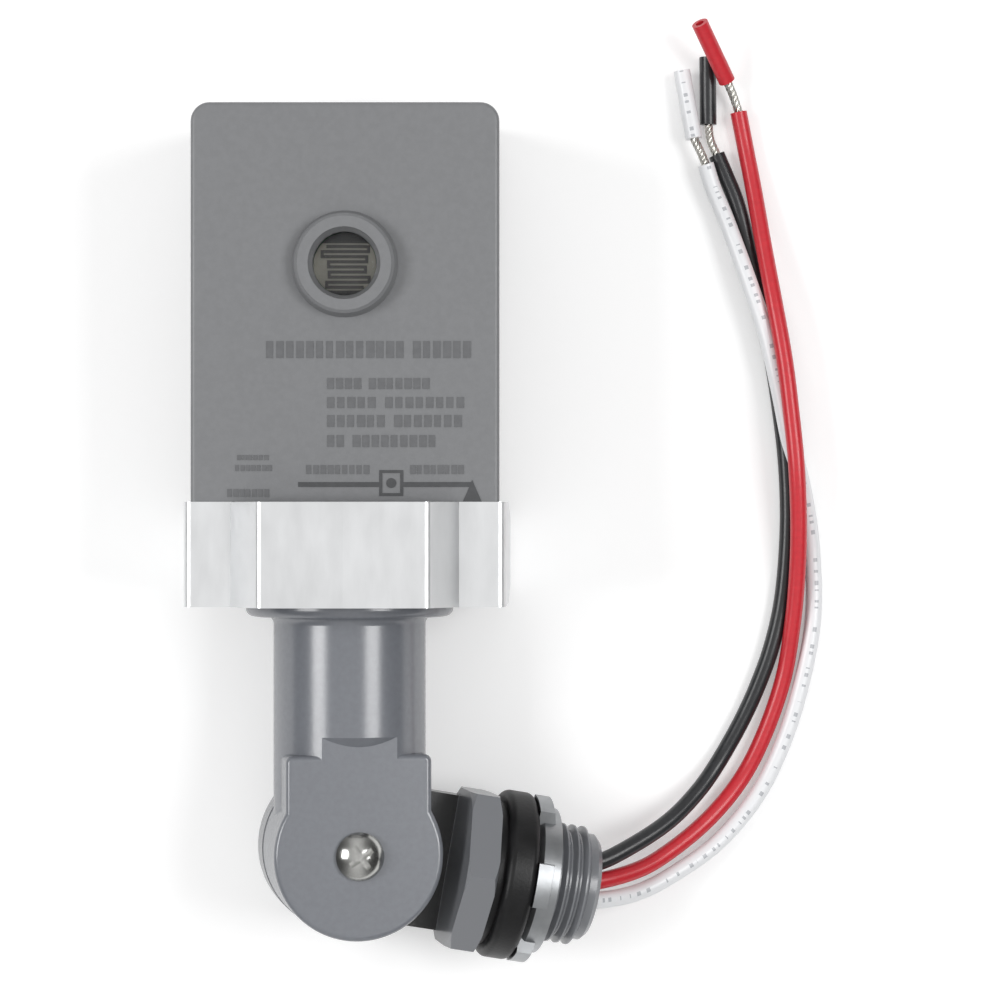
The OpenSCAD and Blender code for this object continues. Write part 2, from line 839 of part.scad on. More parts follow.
module pivot_screw() {
    color(steel) arm_frame() difference() {
        union() {
            face_front() translate([0, 0, ear_front]) intersection() {
                cylinder(r = head_r, h = head_t);
                translate([0, 0, head_t - head_dome_r]) sphere(head_dome_r);
            }
            translate([0, -ear_front, 0]) face_back() cylinder(r = pivot_r, h = ear_front + screw_end);
        }
        for (turn = [0, 90]) {
            face_front() translate([0, 0, ear_front + head_t]) rotate(turn + cross_turn)
                cube([cross_l, cross_w, 2 * cross_depth], center = true);
        }
    }
}

module pivot_nut() {
    color(steel) arm_frame() face_back() translate([0, 0, disc_y + disc_t - pocket_t]) difference() {
        cylinder(r = pivot_nut_af / sqrt(3), h = pivot_nut_t, $fn = 6);
        translate([0, 0, -overlap]) cylinder(r = pivot_r + run_fit, h = pivot_nut_t + 2 * overlap);
    }
}

module pivot_washer() {
    color(rubber_black) arm_frame() face_back() translate([0, 0, lap_y])
        linear_extrude(height = lap_washer_t) difference() {
            circle(lap_washer_r);
            circle(chamber_r);
        }
}

module seal_washer() {
    color(rubber_black) arm_frame() translate([0, 0, hex_end]) rotate_extrude() difference() {
        union() {
            square([washer_waist_r, washer_waist_t]);
            translate([0, washer_waist_t]) {
                square([washer_r - washer_round, washer_t - washer_waist_t]);
                translate([0, washer_round])
                    square([washer_r, washer_t - washer_waist_t - 2 * washer_round]);
                translate([washer_r - washer_round, washer_t - washer_waist_t - washer_round])
                    quarter(washer_round);
                translate([washer_r - washer_round, washer_round]) mirror([0, 1]) quarter(washer_round);
            }
        }
        translate([0, -overlap]) square([seat_r + run_fit, washer_t + 2 * overlap]);
    }
}

module nut_lugs_section() {
    for (k = [0 : nut_lugs - 1]) {
        rotate(k * 360 / nut_lugs - 90) translate([0, -nut_lug_w / 2])
            square([nut_r + overlap, nut_lug_w]);
    }
}

module locknut() {
    color(steel) arm_frame() translate([0, 0, washer_end]) difference() {
        union() {
            rotate_extrude() polygon([
                [0, 0], [nut_body_r - nut_dish_w, 0], [nut_body_r, nut_dish_t],
                [nut_body_r, nut_t], [0, nut_t]
            ]);
            intersection() {
                linear_extrude(height = nut_t) nut_lugs_section();
                rotate_extrude() polygon([
                    [0, 0], [nut_r, 0], [nut_r, nut_lug_t],
                    [nut_body_r - nut_lug_root, nut_lug_t + nut_lug_fall], [0, nut_lug_t + nut_lug_fall]
                ]);
            }
        }
        translate([0, 0, -overlap]) cylinder(r = seat_r + run_fit, h = nut_t + 2 * overlap);
    }
}

module lead_seal() {
    color(rubber_black) arm_frame() translate([0, 0, lead_seal_end - lead_seal_t])
        cylinder(r = lead_way_r - run_fit, h = lead_seal_t);
}

// Leads
module lead_black() {
    color(rubber_black) tube(lead_path(-lead_pitch - lead_shift, black_route), lead_d);
}

module lead_red() {
    color(lead_red_colour) tube(lead_path(-lead_shift, red_route), lead_d);
}

module lead_white() {
    color(lead_white_colour) tube(lead_path(lead_pitch - lead_shift, white_route), lead_d);
}

module strands_black() {
    color(steel) tube(black_bare, strand_d);
}

module strands_red() {
    color(steel) tube(red_bare, strand_d);
}

module strands_white() {
    color(steel) tube(white_bare, strand_d);
}

module slug_black() {
    color(rubber_black) tube([black_bare[2], black_slug_end], slug_d);
}

module slug_red() {
    color(lead_red_colour) tube([red_bare[2], red_slug_end], slug_d);
}

module slug_white() {
    color(lead_white_colour) tube([white_bare[2], white_slug_end], slug_d);
}

front_housing();
rear_cover();
cover_seal();
cover_screws();
lens_window();
window_seal();
photocell();
circuit_board();
board_screws();
relay();
dropper_capacitor();
smoothing_capacitor();
varistor();
resistors();
diodes();
light_shield();
swivel_stem();
stem_seal();
stem_retainer();
swivel_arm();
pivot_screw();
pivot_nut();
pivot_washer();
seal_washer();
locknut();
lead_seal();
lead_black();
lead_red();
lead_white();
strands_black();
strands_red();
strands_white();
slug_black();
slug_red();
slug_white();
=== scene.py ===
import json
import math
import random
from collections import namedtuple

import bmesh
import bpy
from mathutils import Matrix, Vector


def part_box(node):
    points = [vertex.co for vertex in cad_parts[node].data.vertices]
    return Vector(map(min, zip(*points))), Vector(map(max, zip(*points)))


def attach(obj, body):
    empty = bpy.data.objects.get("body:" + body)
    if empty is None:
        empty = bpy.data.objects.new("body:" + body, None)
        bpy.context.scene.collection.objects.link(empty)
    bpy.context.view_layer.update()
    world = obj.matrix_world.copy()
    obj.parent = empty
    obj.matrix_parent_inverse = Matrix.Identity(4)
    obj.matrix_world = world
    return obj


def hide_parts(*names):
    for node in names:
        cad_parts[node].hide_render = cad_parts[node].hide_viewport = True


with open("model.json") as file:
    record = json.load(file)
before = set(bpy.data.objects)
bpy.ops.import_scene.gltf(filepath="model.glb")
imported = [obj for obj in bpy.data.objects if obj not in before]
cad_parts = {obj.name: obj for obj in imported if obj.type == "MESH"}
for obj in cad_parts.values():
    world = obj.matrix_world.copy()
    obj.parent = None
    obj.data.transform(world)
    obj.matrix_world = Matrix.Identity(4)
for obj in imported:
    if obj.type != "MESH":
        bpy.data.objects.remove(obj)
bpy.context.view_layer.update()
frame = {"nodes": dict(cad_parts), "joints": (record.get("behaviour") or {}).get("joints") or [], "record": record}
nodes = frame["nodes"]
record = frame["record"]
MM = 0.001
MICRON = 0.000001


# Materials

def srgb(r, g, b):
    """Linear colour, with alpha, of an sRGB colour given in 0-255."""
    def linear(c):
        c /= 255
        return c / 12.92 if c <= 0.04045 else ((c + 0.055) / 1.055) ** 2.4
    return (linear(r), linear(g), linear(b), 1)


class Paint:
    """A node material built around one Principled shader. Noise scales are per metre."""

    def __init__(self, name, colour, rough, metal=0.0, **sockets):
        self.material = bpy.data.materials.new(name)
        self.material.use_nodes = True
        self.tree = self.material.node_tree
        self.shader = self.tree.nodes["Principled BSDF"]
        self.shader.inputs["Base Color"].default_value = colour
        self.shader.inputs["Roughness"].default_value = rough
        self.shader.inputs["Metallic"].default_value = metal
        for socket, value in sockets.items():
            self.shader.inputs[socket.replace("_", " ")].default_value = value
        self.colour = colour
        self.rough = rough

    def node(self, kind, **settings):
        made = self.tree.nodes.new(kind)
        for key, value in settings.items():
            if key in made.inputs:
                made.inputs[key].default_value = value
            else:
                setattr(made, key, value)
        return made

    def link(self, out, into):
        self.tree.links.new(out, into)

    def maths(self, operation, first, second):
        """The result of two outputs, or of an output and a number."""
        made = self.node("ShaderNodeMath", operation=operation)
        for value, socket in zip((first, second), made.inputs):
            if isinstance(value, (int, float)):
                socket.default_value = value
            else:
                self.link(value, socket)
        return made.outputs["Value"]

    def place(self, stretch=(1, 1, 1), source="Object"):
        coords = self.node("ShaderNodeTexCoord")
        mapping = self.node("ShaderNodeMapping")
        mapping.inputs["Scale"].default_value = stretch
        self.link(coords.outputs[source], mapping.inputs["Vector"])
        return mapping.outputs["Vector"]

    def noise(self, scale, stretch=(1, 1, 1), detail=4.0):
        made = self.node("ShaderNodeTexNoise", Scale=scale, Detail=detail)
        self.link(self.place(stretch), made.inputs["Vector"])
        return made.outputs["Fac"]

    def tint(self, fac, low, high, into="Base Color", ends=(0.35, 0.65)):
        """Carries a 0-1 value to two colours, or to two levels, on a socket."""
        ramp = self.node("ShaderNodeValToRGB")
        for stop, position, value in zip(ramp.color_ramp.elements, ends, (low, high)):
            stop.position = position
            stop.color = value if hasattr(value, "__len__") else (value, value, value, 1)
        self.link(fac, ramp.inputs["Fac"])
        self.link(ramp.outputs["Color"], self.shader.inputs[into])

    def mottle(self, scale, spread, stretch=(1, 1, 1), ends=(0.35, 0.65)):
        """Light and dark clouds of the base colour."""
        low = [c * (1 - spread) for c in self.colour[:3]] + [1]
        high = [min(1, c * (1 + spread)) for c in self.colour[:3]] + [1]
        self.tint(self.noise(scale, stretch), low, high, ends=ends)
        return self

    def worn(self, scale, spread, stretch=(1, 1, 1)):
        """Uneven gloss."""
        low, high = max(0.02, self.rough - spread), self.rough + spread
        self.tint(self.noise(scale, stretch, detail=2.0), low, high, "Roughness", (0.1, 0.9))
        return self

    def grain(self, scale, microns, stretch=(1, 1, 1)):
        """Fine relief."""
        bump = self.node("ShaderNodeBump", Strength=1.0, Distance=microns * MICRON)
        self.link(self.noise(scale, stretch, detail=3.0), bump.inputs["Height"])
        self.link(bump.outputs["Normal"], self.shader.inputs["Normal"])
        return self


# Moulded plastics
housing_paint = Paint("housing_plastic", srgb(123, 124, 126), 0.42)
housing_paint.mottle(900, 0.03).worn(60, 0.05).grain(2600, 20)
stem_paint = Paint("stem_plastic", srgb(115, 118, 124), 0.24, Specular_IOR_Level=0.86)
stem_paint.mottle(1100, 0.03).worn(900, 0.03).grain(1600, 8)
arm_paint = Paint("arm_plastic", srgb(119, 121, 125), 0.24, Specular_IOR_Level=0.8)
arm_paint.worn(900, 0.03).grain(1600, 8)
glass_paint = Paint("clear_window", (0.96, 0.975, 0.98, 1), 0.04, Transmission_Weight=1.0, IOR=1.33)
glass_paint.worn(160, 0.02)

# Rubber and metals
rubber_paint = Paint("black_rubber", srgb(22, 22, 23), 0.42, Specular_IOR_Level=0.3)
rubber_paint.mottle(400, 0.2).worn(200, 0.08).grain(1800, 30)
steel_paint = Paint("plated_steel", srgb(190, 190, 187), 0.2, 1.0)
steel_paint.mottle(500, 0.06).worn(160, 0.08).grain(900, 6)
nut_paint = Paint("locknut_zinc", srgb(156, 158, 160), 0.36, 1.0)
nut_paint.mottle(260, 0.1).worn(120, 0.08).grain(600, 10)
shield_paint = Paint("shield_aluminium", srgb(223, 224, 225), 0.42, 1.0)
shield_paint.mottle(70, 0.04, (6, 1.6, 1), (0.3, 0.7)).worn(110, 0.09, (2, 1, 1)).grain(130, 8, (12, 0.4, 1))
tin_paint = Paint("tinned_copper", srgb(206, 204, 198), 0.25, 1.0).mottle(900, 0.12).worn(400, 0.1)

# The light sensor and the parts inside
cell_paint = Paint("cell_ceramic", srgb(132, 128, 116), 0.5).mottle(700, 0.06).grain(1600, 8)
track_paint = Paint("cell_track", srgb(24, 15, 13), 0.5).mottle(900, 0.2)
# Painted shadow laid over the cell's upper and lower ends
cell_shadow_paint = Paint("cell_shadow_cap", srgb(15, 14, 15), 0.6).mottle(300, 0.08)
board_paint = Paint("board_laminate", srgb(38, 104, 66), 0.35).mottle(300, 0.12).grain(1200, 10)
part_black = Paint("component_black", srgb(34, 34, 36), 0.35).mottle(300, 0.12).grain(900, 10)
part_red = Paint("component_red", srgb(190, 72, 50), 0.3).mottle(200, 0.1).grain(500, 20)
part_blue = Paint("component_blue", srgb(52, 84, 170), 0.3).mottle(200, 0.1).grain(500, 20)
part_tan = Paint("component_tan", srgb(214, 188, 140), 0.35).mottle(300, 0.08)

# Print and lead insulation
print_paint = Paint("face_print", srgb(100, 101, 103), 0.5).mottle(900, 0.06)
symbol_paint = Paint("wiring_print", srgb(72, 73, 75), 0.5).mottle(900, 0.08)
black_pvc = Paint("lead_black_pvc", srgb(40, 41, 43), 0.3).mottle(1300, 0.12).worn(1000, 0.04)
red_pvc = Paint("lead_red_pvc", srgb(200, 44, 54), 0.3).mottle(1300, 0.05).worn(1000, 0.04)
white_pvc = Paint("lead_white_pvc", srgb(236, 237, 239), 0.32).worn(1000, 0.04)

# Faint marks along the white lead: how closely they follow each other, how much of the length they take, and
# where they lie around the lead, in turns, with the lead's top at 0.75
MARKS_PER_M = 420
MARK_NOISE = 2.3
MARK_LEVEL = 0.6
MARK_TURN = 0.73
MARK_HALF_TURN = 0.04
MARK_COLOUR = srgb(184, 186, 190)


def wire_marks(paint):
    """Broken dashes on one side of a lead, whose UV is its length in metres and its turn."""
    split = paint.node("ShaderNodeSeparateXYZ")
    paint.link(paint.place(source="UV"), split.inputs["Vector"])
    along = paint.node("ShaderNodeTexNoise", Scale=MARK_NOISE, Detail=0.0, noise_dimensions="1D")
    paint.link(paint.maths("MULTIPLY", split.outputs["X"], MARKS_PER_M), along.inputs["W"])
    dash = paint.maths("GREATER_THAN", along.outputs["Fac"], MARK_LEVEL)
    side = paint.node("ShaderNodeMath", operation="COMPARE")
    side.inputs[1].default_value = MARK_TURN
    side.inputs[2].default_value = MARK_HALF_TURN
    paint.link(split.outputs["Y"], side.inputs[0])
    both = paint.maths("MULTIPLY", dash, side.outputs["Value"])
    paint.tint(both, paint.colour, MARK_COLOUR, ends=(0.0, 1.0))


# Painted shade on the neck between the arm's disc and its hexagon, where the deep slot between them lies in
# shadow; its stretch is given as distances from the pivot along the nipple
NECK_START = 9.0 * MM
NECK_FADE = 3.0 * MM
NECK_END = 18.3 * MM
NECK_SHADE_COLOUR = srgb(22, 23, 24)


def painted_neck_shade(paint):
    """Painted shade: near-black around one stretch of the nipple's axis."""
    axis = next(Vector(mount["axis"]) for mount in record["mounts"] if mount["name"] == "conduit_thread")
    pivot = next(Vector(joint["pos_m"]) for joint in frame["joints"] if joint["name"] == "knuckle_pivot")
    zero = axis.dot(pivot)
    along = paint.node("ShaderNodeVectorMath", operation="DOT_PRODUCT")
    along.inputs[1].default_value = axis
    paint.link(paint.place(), along.inputs[0])
    fade = paint.node("ShaderNodeMapRange", interpolation_type="SMOOTHSTEP")
    fade.inputs["From Min"].default_value = zero + NECK_START
    fade.inputs["From Max"].default_value = zero + NECK_START + NECK_FADE
    paint.link(along.outputs["Value"], fade.inputs["Value"])
    inside = paint.maths("LESS_THAN", along.outputs["Value"], zero + NECK_END)
    both = paint.maths("MULTIPLY", fade.outputs["Result"], inside)
    paint.tint(both, paint.colour, NECK_SHADE_COLOUR, ends=(0.0, 1.0))


wire_marks(white_pvc)
# Painted shade in the arm's paint, on the neck between its disc and hexagon
painted_neck_shade(arm_paint)

NODE_PAINTS = {
    "front_housing": housing_paint, "rear_cover": housing_paint, "cover_seal": rubber_paint,
    "cover_screws": steel_paint, "lens_window": glass_paint, "window_seal": rubber_paint,
    "photocell": cell_paint, "circuit_board": board_paint, "board_screws": steel_paint, "relay": part_black,
    "dropper_capacitor": part_red, "smoothing_capacitor": part_black, "varistor": part_blue,
    "resistors": part_tan, "diodes": part_black, "light_shield": shield_paint, "swivel_stem": stem_paint,
    "stem_seal": rubber_paint, "stem_retainer": steel_paint, "swivel_arm": arm_paint,
    "pivot_screw": steel_paint, "pivot_nut": steel_paint, "pivot_washer": rubber_paint,
    "seal_washer": rubber_paint, "locknut": nut_paint, "lead_seal": rubber_paint,
}
for name, paint in NODE_PAINTS.items():
    nodes[name].data.materials.clear()
    nodes[name].data.materials.append(paint.material)


# New pieces

def piece(name, build, paint, body, smooth=None):
    """A mesh built by build(bm), in the row frame, riding on a body."""
    bm = bmesh.new()
    build(bm)
    bmesh.ops.recalc_face_normals(bm, faces=bm.faces)
    data = bpy.data.meshes.new(name)
    bm.to_mesh(data)
    bm.free()
    if smooth is not None:
        for polygon in data.polygons:
            polygon.use_smooth = True
        data.set_sharp_from_angle(angle=math.radians(smooth))
    data.materials.append(paint.material)
    made = bpy.data.objects.new(name, data)
    bpy.context.scene.collection.objects.link(made)
    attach(made, body)
    return made


def plate(bm, x0, y0, x1, y1, z0, z1):
    """A thin upright-sided block, in mm."""
    where = Matrix.Translation(Vector(((x0 + x1) / 2, (y0 + y1) / 2, (z0 + z1) / 2)) * MM)
    size = Matrix.Diagonal(((x1 - x0) * MM, (y1 - y0) * MM, (z1 - z0) * MM, 1))
    bmesh.ops.create_cube(bm, size=1, matrix=where @ size)


def slab(bm, outline, z0, z1):
    """A block over an outline of (x, y) points, in mm."""
    low = [bm.verts.new(Vector((x, y, z0)) * MM) for x, y in outline]
    face = bm.faces.new(low)
    lifted = bmesh.ops.extrude_face_region(bm, geom=[face])
    for vert in (v for v in lifted["geom"] if isinstance(v, bmesh.types.BMVert)):
        vert.co.z = z1 * MM


# Photocell: a winding track on the pale cell, between dark caps of painted shadow, in mm

cell_low, cell_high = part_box("photocell")
EYE_Y = (cell_low.y + cell_high.y) / 2 / MM
CELL_R = cell_high.x / MM
CELL_TOP = cell_high.z / MM
FILM_TOP = CELL_TOP + 0.05
TRACK_W = 0.5
TRACK_STEP = 0.8
TRACK_TOP = 2.95
TRACK_TURNS = (-2.8, 3.6, -3.7, 3.3, -2.7, 3.1, -2.6, 3.7, -3.0, 2.6)
# Each painted shadow cap's side of the cell, and the angle at which its arc starts; the upper cap reaches further,
# for the collar's shadow
SHADOW_CAPS = ((1, 43), (-1, 51))
CAP_STEPS = 24


def serpentine(bm):
    """Rows from each turn to the next, with a short joint down to the row below."""
    half = TRACK_W / 2
    for k, (start, end) in enumerate(zip(TRACK_TURNS, TRACK_TURNS[1:])):
        y = EYE_Y + TRACK_TOP - k * TRACK_STEP
        plate(bm, min(start, end) - half, y - half, max(start, end) + half, y + half, CELL_TOP, FILM_TOP)
        if k < len(TRACK_TURNS) - 2:
            plate(bm, end - half, y - TRACK_STEP + half, end + half, y - half, CELL_TOP, FILM_TOP)


def cell_shadow_slices(bm):
    """Painted shadow: a slice of the disc at its upper end and one at its lower end."""
    for side, start in SHADOW_CAPS:
        arc = []
        for k in range(CAP_STEPS + 1):
            a = math.radians(start + (180 - 2 * start) * k / CAP_STEPS)
            arc.append((CELL_R * math.cos(a), EYE_Y + side * CELL_R * math.sin(a)))
        slab(bm, arc[::side], CELL_TOP, FILM_TOP)


piece("cell_track", serpentine, track_paint, "housing")
piece("cell_shadow_slices", cell_shadow_slices, cell_shadow_paint, "housing")


# Print on the face: rows of plain blocks and a wiring symbol, placed by the picture's columns and rows

COLLAR_RISE = 3.0
FACE_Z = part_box("front_housing")[1].z / MM - COLLAR_RISE
PRINT_LOW = FACE_Z - 0.05
PRINT_TOP = FACE_Z + 0.12
PICTURE_MIDDLE = 500
FACE_PX_PER_MM = 5.948
FACE_MIDDLE_X = 25.8
FACE_MIDDLE_Y = -25.0

# A row's edges in the picture, the pitch of its blocks, the blocks in each word, and the seed of their widths
Row = namedtuple("Row", "left right top low pitch words seed")
TITLE_ROWS = (
    Row(268, 478, 341, 358, 10.0, (14, 6), 3),
)
RATING_ROWS = (
    Row(329, 438, 378, 389, 8.9, (4, 7), 5),
    Row(329, 476, 397, 408, 10.2, (5, 8), 7),
    Row(329, 472, 415, 427, 10.0, (6, 7), 9),
    Row(329, 446, 435, 447, 9.5, (2, 9), 11),
)
SMALL_ROWS = (
    Row(308, 380, 465, 474, 7.2, (9,), 13),
    Row(412, 470, 465, 474, 6.9, (8,), 15),
    Row(229, 283, 489, 497, 6.2, (7,), 17),
    Row(239, 272, 455, 460, 5.4, (6,), 19),
    Row(237, 276, 465, 471, 5.4, (7,), 21),
)
BLOCK_SHARES = (0.62, 0.8)
WORD_GAP = 0.7

LINE = (300, 482, 381, 487)
BOX_LEFT, BOX_TOP, BOX_RIGHT, BOX_LOW = 381, 470, 405, 496
BOX_EDGE = 3
ARROW = ((405, 482), (473, 482), (474, 480), (484, 503), (464, 503), (471, 487), (405, 487))
DOT_X, DOT_Y, DOT_R = 393, 483, 5
DOT_SIDES = 24


def on_face(px, py):
    """Where a point of the 1000-pixel picture lies on the face, in mm."""
    return (FACE_MIDDLE_X + (px - PICTURE_MIDDLE) / FACE_PX_PER_MM,
            FACE_MIDDLE_Y + (PICTURE_MIDDLE - py) / FACE_PX_PER_MM)


def bar(bm, left, top, right, low):
    """A printed bar between picture columns and rows."""
    x0, y1 = on_face(left, top)
    x1, y0 = on_face(right, low)
    plate(bm, x0, y0, x1, y1, PRINT_LOW, PRINT_TOP)


def block_row(bm, row):
    """Blocks of uneven width in words, as far as the row's right edge."""
    chance = random.Random(row.seed)
    x = row.left
    for count in row.words:
        for _ in range(count):
            wide = row.pitch * chance.uniform(*BLOCK_SHARES)
            if x + wide > row.right:
                return
            bar(bm, x, row.top, x + wide, row.low)
            x += row.pitch
        x += row.pitch * WORD_GAP


def block_rows(rows):
    def build(bm):
        for row in rows:
            block_row(bm, row)
    return build


def wiring_symbol(bm):
    """A line into a box with a dot, and out of it to an arrow."""
    bar(bm, *LINE)
    bar(bm, BOX_LEFT, BOX_TOP, BOX_RIGHT, BOX_TOP + BOX_EDGE)
    bar(bm, BOX_LEFT, BOX_LOW - BOX_EDGE, BOX_RIGHT, BOX_LOW)
    bar(bm, BOX_LEFT, BOX_TOP + BOX_EDGE, BOX_LEFT + BOX_EDGE, BOX_LOW - BOX_EDGE)
    bar(bm, BOX_RIGHT - BOX_EDGE, BOX_TOP + BOX_EDGE, BOX_RIGHT, BOX_LOW - BOX_EDGE)
    slab(bm, [on_face(*point) for point in ARROW[::-1]], PRINT_LOW, PRINT_TOP)
    turns = (2 * math.pi * k / DOT_SIDES for k in range(DOT_SIDES))
    dot = [on_face(DOT_X + DOT_R * math.cos(a), DOT_Y + DOT_R * math.sin(a)) for a in turns]
    slab(bm, dot[::-1], PRINT_LOW, PRINT_TOP)


piece("title_print", block_rows(TITLE_ROWS), print_paint, "housing")
piece("rating_print", block_rows(RATING_ROWS), print_paint, "housing")
piece("small_print", block_rows(SMALL_ROWS), print_paint, "housing")
piece("wiring_symbol", wiring_symbol, symbol_paint, "housing")


# Leads

SIDES = 20
SMOOTH_BELOW = 40
LEAD_D = 3.0 * MM
LEAD_STEP = 0.9 * MM
STRAND_D = 1.6 * MM
STRAND_STEP = 0.3 * MM
WIRE_D = 0.56 * MM
WIRES = 6
WIRE_TURNS = 1.1
SLUG_STEP = 1.2 * MM

# Each lead's route from the seal in the nipple, its bare strands and the far end of its loose slug, in mm
ROUTES = {
    "black": [
        (38.663, -88.076, 13.685), (43.11, -88.875, 12.821),
        (49.6, -86.1, 10.2), (56.3, -82, 7), (61.4, -77.2, 4), (65.1, -72.3, 2), (69.2, -65.2, 1.5),
        (72.3, -58.5, 1.5), (75, -50.9, 1.5), (76.9, -42, 1.5), (77.8, -30, 1.5), (77.5, -18.6, 1.5),
        (76.2, -7.4, 1.5), (74.5, 3, 1.5), (72.7, 12, 1.5), (70.8, 20, 1.5), (68.6, 28.2, 1.5),
        (66.7, 33, 1.5), (65, 37, 1.5)],
    "red": [
        (38.083, -91.424, 13.798), (42.53, -92.223, 12.934),
        (50.4, -90.6, 9.3), (56.4, -87.5, 6.4), (63.4, -82.1, 3.4), (69.2, -75.4, 1.6), (73.4, -67.4, 1.5),
        (76.9, -57.2, 1.8), (78.5, -47.1, 3.3), (79.2, -38, 4.8), (79.3, -29, 6.4), (78.8, -19, 7.8),
        (77.8, -9, 7.8), (76.7, 0, 7.4), (75.1, 9.5, 6.4), (73.3, 20, 4.4), (71.6, 30.5, 2.5),
        (70.2, 38, 1.7), (68.9, 44.6, 2)],
    "white": [
        (37.503, -94.772, 13.91), (41.95, -95.571, 13.046),
        (50, -94.8, 8.6), (57.4, -91.5, 5.6), (65.5, -86, 2.6), (72.6, -77.5, 1.5), (77.6, -66.8, 1.5),
        (80.9, -55.1, 1.5), (82.4, -45.1, 1.5), (82.2, -35, 1.5), (81.2, -27, 2.6), (79.5, -19.6, 4.2),
        (77.7, -14, 4.6), (76, -5.6, 4.7), (73.6, 4.8, 4.7), (70.3, 14.8, 4.4), (66.6, 25.2, 3.2),
        (64.3, 30.8, 3), (62.9, 35.1, 3.4)],
}
BARE = {
    "black": [(65, 37, 1.5), (63.9, 39.6, 1.5), (63.5, 42.4, 1.5)],
    "red": [(68.9, 44.6, 2), (67.9, 47.4, 2.8), (66.7, 50, 3.6)],
    "white": [(62.9, 35.1, 3.4), (61.9, 37.5, 3.6), (60.8, 39.7, 3.4)],
}
SLUG_END = {"black": (63.4, 54.5, 1.5), "red": (61.5, 59.5, 9.5), "white": (58.7, 51.9, 2.6)}
PVC = {"black": black_pvc, "red": red_pvc, "white": white_pvc}


def smooth_path(points, step):
    """Points, in metres, every step or so along a smooth curve through the given ones, in mm."""
    route = [Vector(p) * MM for p in points]
    padded = [2 * route[0] - route[1], *route, 2 * route[-1] - route[-2]]
    out = []
    for a, b, c, d in zip(padded, padded[1:], padded[2:], padded[3:]):
        count = max(2, round((c - b).length / step))
        for k in range(count):
            t = k / count
            out.append(0.5 * (2 * b + (c - a) * t + (2 * a - 5 * b + 4 * c - d) * t ** 2
                              + (3 * b - a - 3 * c + d) * t ** 3))
    return [*out, route[-1]]


def frames(path):
    """Each point of a path with a steady pair of side directions."""
    side = None
    out = []
    for i, point in enumerate(path):
        way = (path[min(i + 1, len(path) - 1)] - path[max(i - 1, 0)]).normalized()
        if side is None:
            side = way.cross(Vector((0, 0, 1))).normalized()
        side = (side - side.dot(way) * way).normalized()
        out.append((point, side, way.cross(side)))
    return out


def distances(path):
    """How far along a path each of its points lies."""
    far = [0.0]
    for a, b in zip(path, path[1:]):
        far.append(far[-1] + (b - a).length)
    return far


def sweep(bm, path, rings):
    """A closed skin over a path: rings is a list of (place on the path, radius)."""
    uv = bm.loops.layers.uv.verify()
    places = frames(path)
    far = distances(path)
    made = []
    for i, radius in rings:
        point, u, v = places[i]
        made.append([bm.verts.new(point + radius * (math.cos(a) * u + math.sin(a) * v))
                     for a in (2 * math.pi * k / SIDES for k in range(SIDES))])
    for r in range(len(rings) - 1):
        for k in range(SIDES):
            n = (k + 1) % SIDES
            face = bm.faces.new((made[r][k], made[r][n], made[r + 1][n], made[r + 1][k]))
            spots = ((r, k), (r, k + 1), (r + 1, k + 1), (r + 1, k))
            for loop, (ring, turn) in zip(face.loops, spots):
                loop[uv].uv = (far[rings[ring][0]], turn / SIDES)
    for ring in (made[0], made[-1]):
        bm.faces.new(ring)


def lead_skin(path):
    return lambda bm: sweep(bm, path, [(i, LEAD_D / 2) for i in range(len(path))])


def slug_skin(path):
    """A tube that is open at its far end, with a blind bore."""
    outer = [(i, LEAD_D / 2) for i in range(len(path))]
    inner = [(i, STRAND_D / 2) for i in range(len(path) - 1, 0, -1)]
    return lambda bm: sweep(bm, path, [*outer, *inner])


def twisted_wires(path):
    """Fine wires wound around a path."""
    def build(bm):
        places = frames(path)
        last = len(places) - 1
        twist_r = (STRAND_D - WIRE_D) / 2
        for w in range(WIRES):
            line = []
            for i, (point, u, v) in enumerate(places):
                a = 2 * math.pi * (WIRE_TURNS * i / last + w / WIRES)
                line.append(point + twist_r * (math.cos(a) * u + math.sin(a) * v))
            sweep(bm, line, [(i, WIRE_D / 2) for i in range(last + 1)])
    return build


for colour, paint in PVC.items():
    path = smooth_path(ROUTES[colour], LEAD_STEP)
    bare = smooth_path(BARE[colour], STRAND_STEP)
    tube = smooth_path([BARE[colour][-1], SLUG_END[colour]], SLUG_STEP)
    lead = piece(f"insulation_{colour}", lead_skin(path), paint, "arm", SMOOTH_BELOW)
    wires = piece(f"twisted_{colour}", twisted_wires(bare), tin_paint, "arm", SMOOTH_BELOW)
    slug = piece(f"loose_slug_{colour}", slug_skin(tube), paint, "arm", SMOOTH_BELOW)
    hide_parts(f"lead_{colour}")
    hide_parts(f"strands_{colour}")
    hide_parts(f"slug_{colour}")


# Floor: pale paper that shows white to the camera and in mirrors, and keeps the shadow

FLOOR_HALF = 3
FLOOR_Z = -0.0002
FLOOR_COLOUR = (0.82, 0.82, 0.82, 1)
FLOOR_LIFT = 0.3

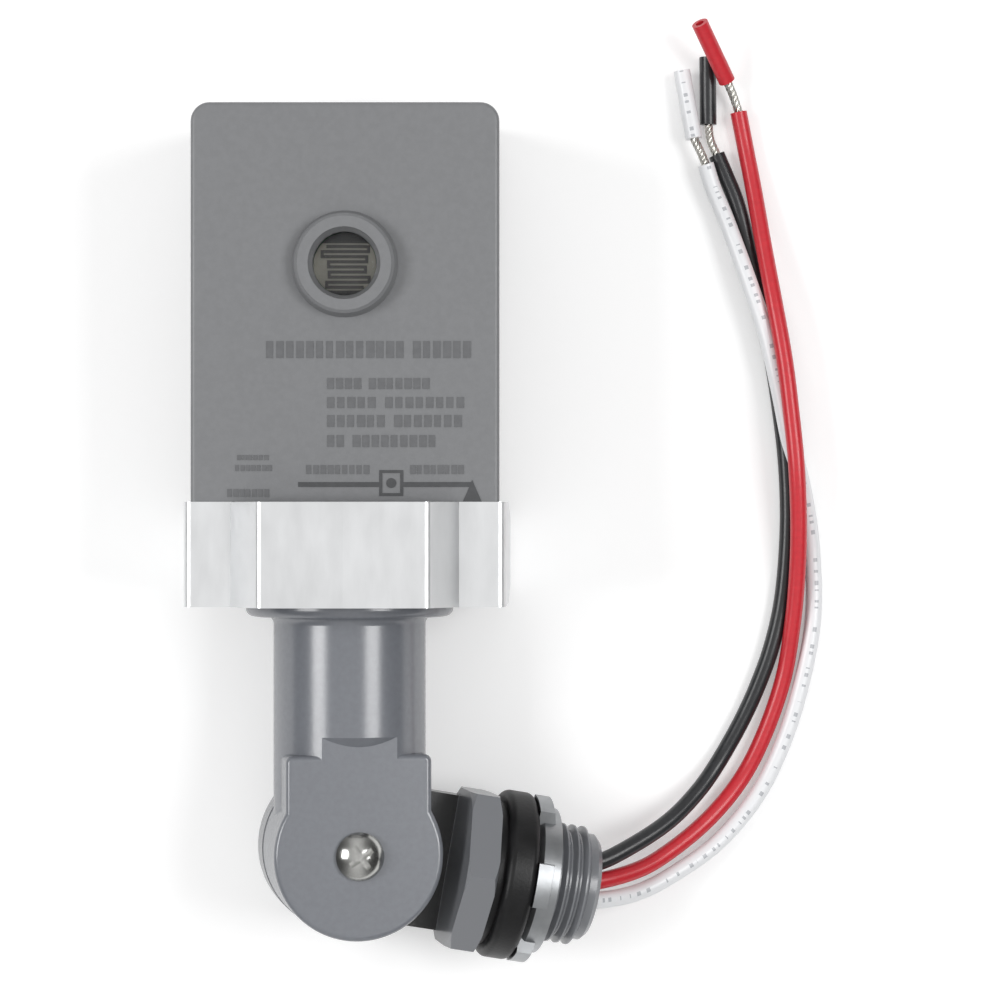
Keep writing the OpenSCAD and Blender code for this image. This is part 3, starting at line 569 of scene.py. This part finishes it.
floor_data = bpy.data.meshes.new("floor")
floor_corners = [(-1, -1), (1, -1), (1, 1), (-1, 1)]
floor_points = [(x * FLOOR_HALF, y * FLOOR_HALF, FLOOR_Z) for x, y in floor_corners]
floor_data.from_pydata(floor_points, [], [(0, 1, 2, 3)])
floor = bpy.data.objects.new("floor", floor_data)
floor_paint = Paint("floor_paper", FLOOR_COLOUR, 0.9, Emission_Color=(1, 1, 1, 1))
rays = floor_paint.node("ShaderNodeLightPath").outputs
mirrored = floor_paint.maths("MAXIMUM", rays["Is Glossy Ray"], rays["Is Transmission Ray"])
seen = floor_paint.maths("MAXIMUM", rays["Is Camera Ray"], mirrored)
lift = floor_paint.maths("MULTIPLY", seen, FLOOR_LIFT)
floor_paint.link(lift, floor_paint.shader.inputs["Emission Strength"])
floor_data.materials.append(floor_paint.material)
bpy.context.scene.collection.objects.link(floor)


# World: bright overhead and dark at the left and right

# Weights of a direction's x, y and z squared, whose sum picks the level
SKY_WEIGHTS = (0, 0.9, 1)
SKY_LEVELS = ((0.0, 0.04), (0.4, 0.11), (0.7, 0.28), (1.0, 0.82))

world = bpy.data.worlds.new("studio")
bpy.context.scene.world = world
world.use_nodes = True
world_tree = world.node_tree
sky = world_tree.nodes["Background"]
sky.inputs["Strength"].default_value = 1.0
coords = world_tree.nodes.new("ShaderNodeTexCoord")
squares = world_tree.nodes.new("ShaderNodeVectorMath")
squares.operation = "MULTIPLY"
height = world_tree.nodes.new("ShaderNodeVectorMath")
height.operation = "DOT_PRODUCT"
height.inputs[1].default_value = SKY_WEIGHTS
ramp = world_tree.nodes.new("ShaderNodeValToRGB")
for position, level in SKY_LEVELS[1:-1]:
    ramp.color_ramp.elements.new(position)
for stop, (position, level) in zip(ramp.color_ramp.elements, SKY_LEVELS):
    stop.position = position
    stop.color = (level, level, level, 1)
world_tree.links.new(coords.outputs["Generated"], squares.inputs[0])
world_tree.links.new(coords.outputs["Generated"], squares.inputs[1])
world_tree.links.new(squares.outputs["Vector"], height.inputs[0])
world_tree.links.new(height.outputs["Value"], ramp.inputs["Fac"])
world_tree.links.new(ramp.outputs["Color"], sky.inputs["Color"])


# Lamps: one on each side, aimed at the housing

LAMP_AIM = (0, 0.05, 0.02)
LAMP_SIZE = (0.5, 0.4)
LAMPS = {
    "strip_left": ((-0.76, 0.05, 0.8), 5.5),
    "strip_right": ((0.65, 0.05, 0.88), 5.0),
}
for name, (where, power) in LAMPS.items():
    data = bpy.data.lights.new(name, "AREA")
    data.shape = "RECTANGLE"
    data.size, data.size_y = LAMP_SIZE
    data.energy = power
    lamp = bpy.data.objects.new(name, data)
    lamp.location = where
    lamp.rotation_mode = "QUATERNION"
    lamp.rotation_quaternion = (Vector(LAMP_AIM) - Vector(where)).to_track_quat("-Z", "Y")
    bpy.context.scene.collection.objects.link(lamp)


# Camera: straight down, as in the photograph

CAMERA_AT = (0.0261, -0.0250, 0.5962)
SENSOR = 36
LENS = 119.2

camera_data = bpy.data.cameras.new("camera")
camera_data.sensor_width = SENSOR
camera_data.lens = LENS
camera_data.clip_start = 0.01
camera_data.clip_end = 20
camera = bpy.data.objects.new("camera", camera_data)
camera.location = CAMERA_AT
camera.rotation_euler = (0, 0, 0)
bpy.context.scene.collection.objects.link(camera)
bpy.context.scene.camera = camera
bpy.context.scene.view_settings.view_transform = "Standard"
